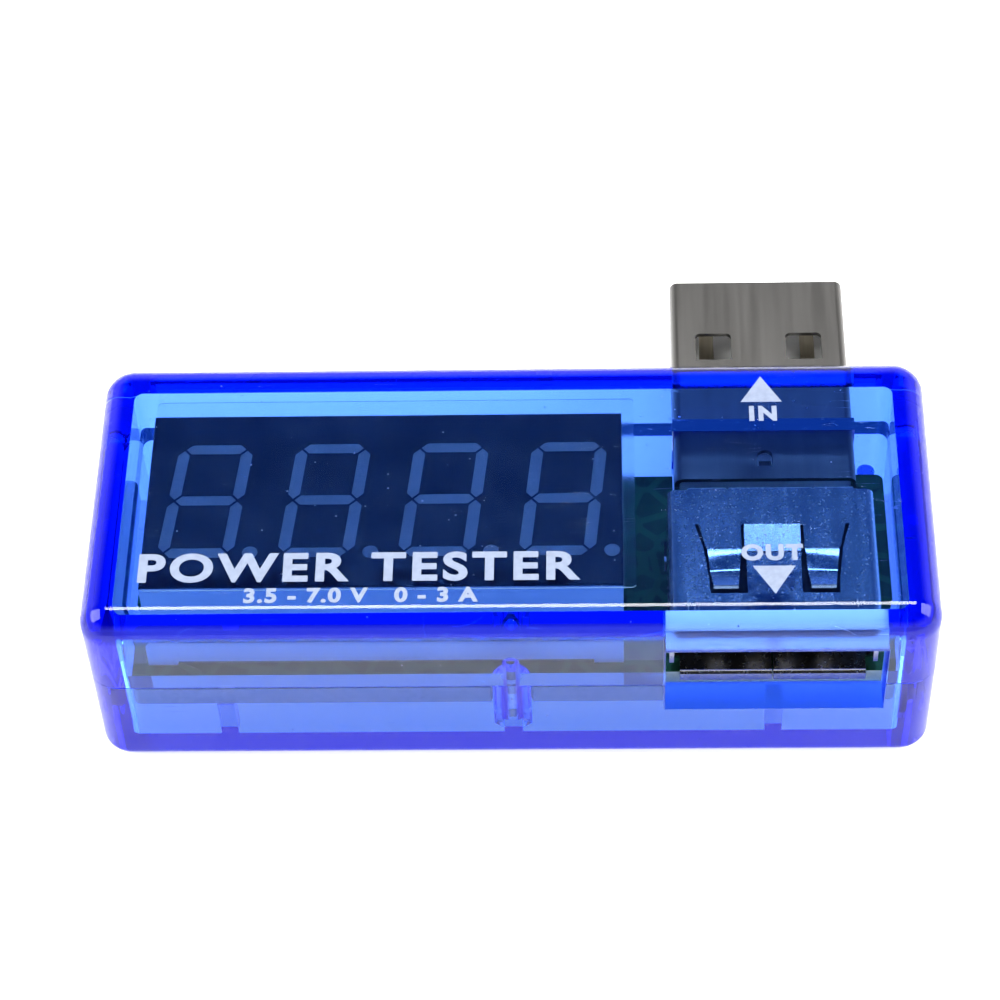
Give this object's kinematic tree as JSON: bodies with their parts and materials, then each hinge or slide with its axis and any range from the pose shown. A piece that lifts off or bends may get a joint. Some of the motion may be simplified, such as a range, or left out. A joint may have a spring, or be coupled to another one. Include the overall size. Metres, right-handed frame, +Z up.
{
  "type": "usb power meter",
  "caption": "Inline meter: translucent box with a display under its lid, a plug on one long side and a socket facing the other way.",
  "frame": {"origin": "centre of the case's flat underside, which rests on the table", "axes": "+X along the case towards the ports' end, +Y out of the plug, -Y out of the socket, +Z up through the display"},
  "size_m": [0.0542, 0.0339, 0.0147],
  "materials": {
    "case_blue": "clear blue-tinted, polished",
    "board_green": "solder mask",
    "nickel_steel": "dull nickel plate",
    "bright_steel": "bright tin plate",
    "gold": "gold plated",
    "insulator_white": "moulded",
    "insulator_black": "moulded",
    "display_black": "black face paint",
    "display_window": "diffuse epoxy",
    "led_chip": "bare chip",
    "potting": "cast epoxy",
    "tinned_wire": "tinned",
    "clear_film": "clear film",
    "package_black": "moulded epoxy",
    "capacitor_tan": "ceramic",
    "solder": "solder"
  },
  "bodies": {
    "meter": {"upper_shell": "case_blue", "lower_shell": "case_blue", "main_board": "board_green", "plug_shell": "nickel_steel", "plug_contacts": "gold", "plug_insulator": "insulator_white", "socket_shell": "bright_steel", "socket_tails": "gold", "socket_insulator": "insulator_black", "display_housing": "display_black", "display_segments": "display_window", "display_leds": "led_chip", "display_substrate": "board_green", "display_epoxy": "potting", "display_pins": "tinned_wire", "display_film": "clear_film", "microcontroller": "package_black", "microcontroller_leads": "tinned_wire", "amplifier": "package_black", "amplifier_leads": "tinned_wire", "voltage_regulator": "package_black", "voltage_regulator_leads": "tinned_wire", "shunt_resistor": "package_black", "ceramic_capacitors": "capacitor_tan", "chip_resistors": "package_black", "chip_end_caps": "tinned_wire", "solder_joints": "solder"},
    "spring_left": {"socket_spring_left": "bright_steel"},
    "spring_right": {"socket_spring_right": "bright_steel"},
    "leaf_vbus": {"contact_vbus": "gold"},
    "leaf_data_minus": {"contact_data_minus": "gold"},
    "leaf_data_plus": {"contact_data_plus": "gold"},
    "leaf_ground": {"contact_ground": "gold"}
  },
  "joints": [
    {"name": "spring_left_flex", "type": "hinge", "parent": "meter", "child": "spring_left", "pos_m": [0.01367, -0.00362, 0.01205], "axis": [-1, 0, 0], "range_deg": [0, 8], "stiffness_Nm_per_rad": 0.03},
    {"name": "spring_right_flex", "type": "hinge", "parent": "meter", "child": "spring_right", "pos_m": [0.01983, -0.00362, 0.01205], "axis": [-1, 0, 0], "range_deg": [0, 8], "stiffness_Nm_per_rad": 0.03},
    {"name": "leaf_vbus_flex", "type": "hinge", "parent": "meter", "child": "leaf_vbus", "pos_m": [0.01325, -0.00134, 0.00976], "axis": [-1, 0, 0], "range_deg": [0, 5.5], "stiffness_Nm_per_rad": 0.05},
    {"name": "leaf_data_minus_flex", "type": "hinge", "parent": "meter", "child": "leaf_data_minus", "pos_m": [0.01575, -0.00134, 0.00976], "axis": [-1, 0, 0], "range_deg": [0, 5.5], "stiffness_Nm_per_rad": 0.05},
    {"name": "leaf_data_plus_flex", "type": "hinge", "parent": "meter", "child": "leaf_data_plus", "pos_m": [0.01775, -0.00134, 0.00976], "axis": [-1, 0, 0], "range_deg": [0, 5.5], "stiffness_Nm_per_rad": 0.05},
    {"name": "leaf_ground_flex", "type": "hinge", "parent": "meter", "child": "leaf_ground", "pos_m": [0.02025, -0.00134, 0.00976], "axis": [-1, 0, 0], "range_deg": [0, 5.5], "stiffness_Nm_per_rad": 0.05}
  ]
}
